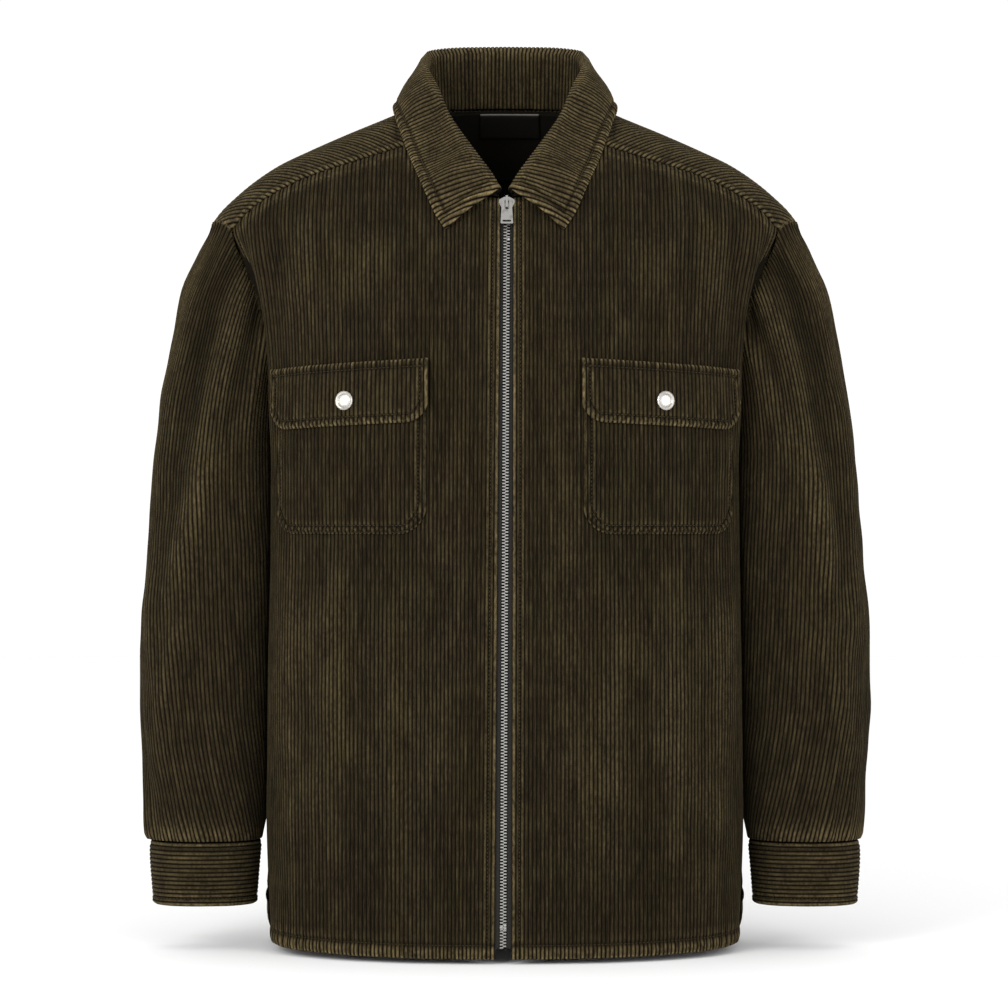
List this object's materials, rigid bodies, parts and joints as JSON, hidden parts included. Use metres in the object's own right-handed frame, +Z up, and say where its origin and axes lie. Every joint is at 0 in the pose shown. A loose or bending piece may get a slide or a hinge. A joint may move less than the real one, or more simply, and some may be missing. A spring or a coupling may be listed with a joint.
{
  "type": "corduroy jacket",
  "caption": "Zip-front corduroy overshirt with a pointed collar, flapped chest pockets and buttoned flaps, held as if worn, hollow and open at neck, cuffs and hem.",
  "frame": {"origin": "centre line of the jacket, level with the collar's seam at the shoulders, at the ridge of the shoulders", "axes": "+Z up, -Y out of the front, +X to the right seen from the front"},
  "size_m": [0.6556, 0.2683, 0.8132],
  "materials": {
    "corduroy": "wide-wale pile, worn paler at the edges",
    "facing": "matt",
    "tape": "matt woven tape",
    "zip_metal": "satin",
    "button_metal": "satin"
  },
  "bodies": {
    "jacket": {"front_left": "corduroy", "front_right": "corduroy", "back": "corduroy", "yoke": "corduroy", "collar": "corduroy", "sleeve_left": "corduroy", "sleeve_right": "corduroy", "cuff_left": "corduroy", "cuff_right": "corduroy", "pocket_left": "corduroy", "pocket_right": "corduroy", "flap_left": "corduroy", "flap_right": "corduroy", "neck_facing": "facing", "neck_label": "tape", "zip_tape_left": "tape", "zip_tape_right": "tape", "zip_chain": "zip_metal", "zip_slider": "zip_metal", "button_left": "button_metal", "button_right": "button_metal"},
    "pull": {"zip_pull": "zip_metal"}
  },
  "joints": [
    {"name": "zip_pull_hinge", "type": "hinge", "parent": "jacket", "child": "pull", "pos_m": [0.00167, -0.10008, -0.08081], "axis": [-1, 0, 0], "range_deg": [0, 120]}
  ]
}
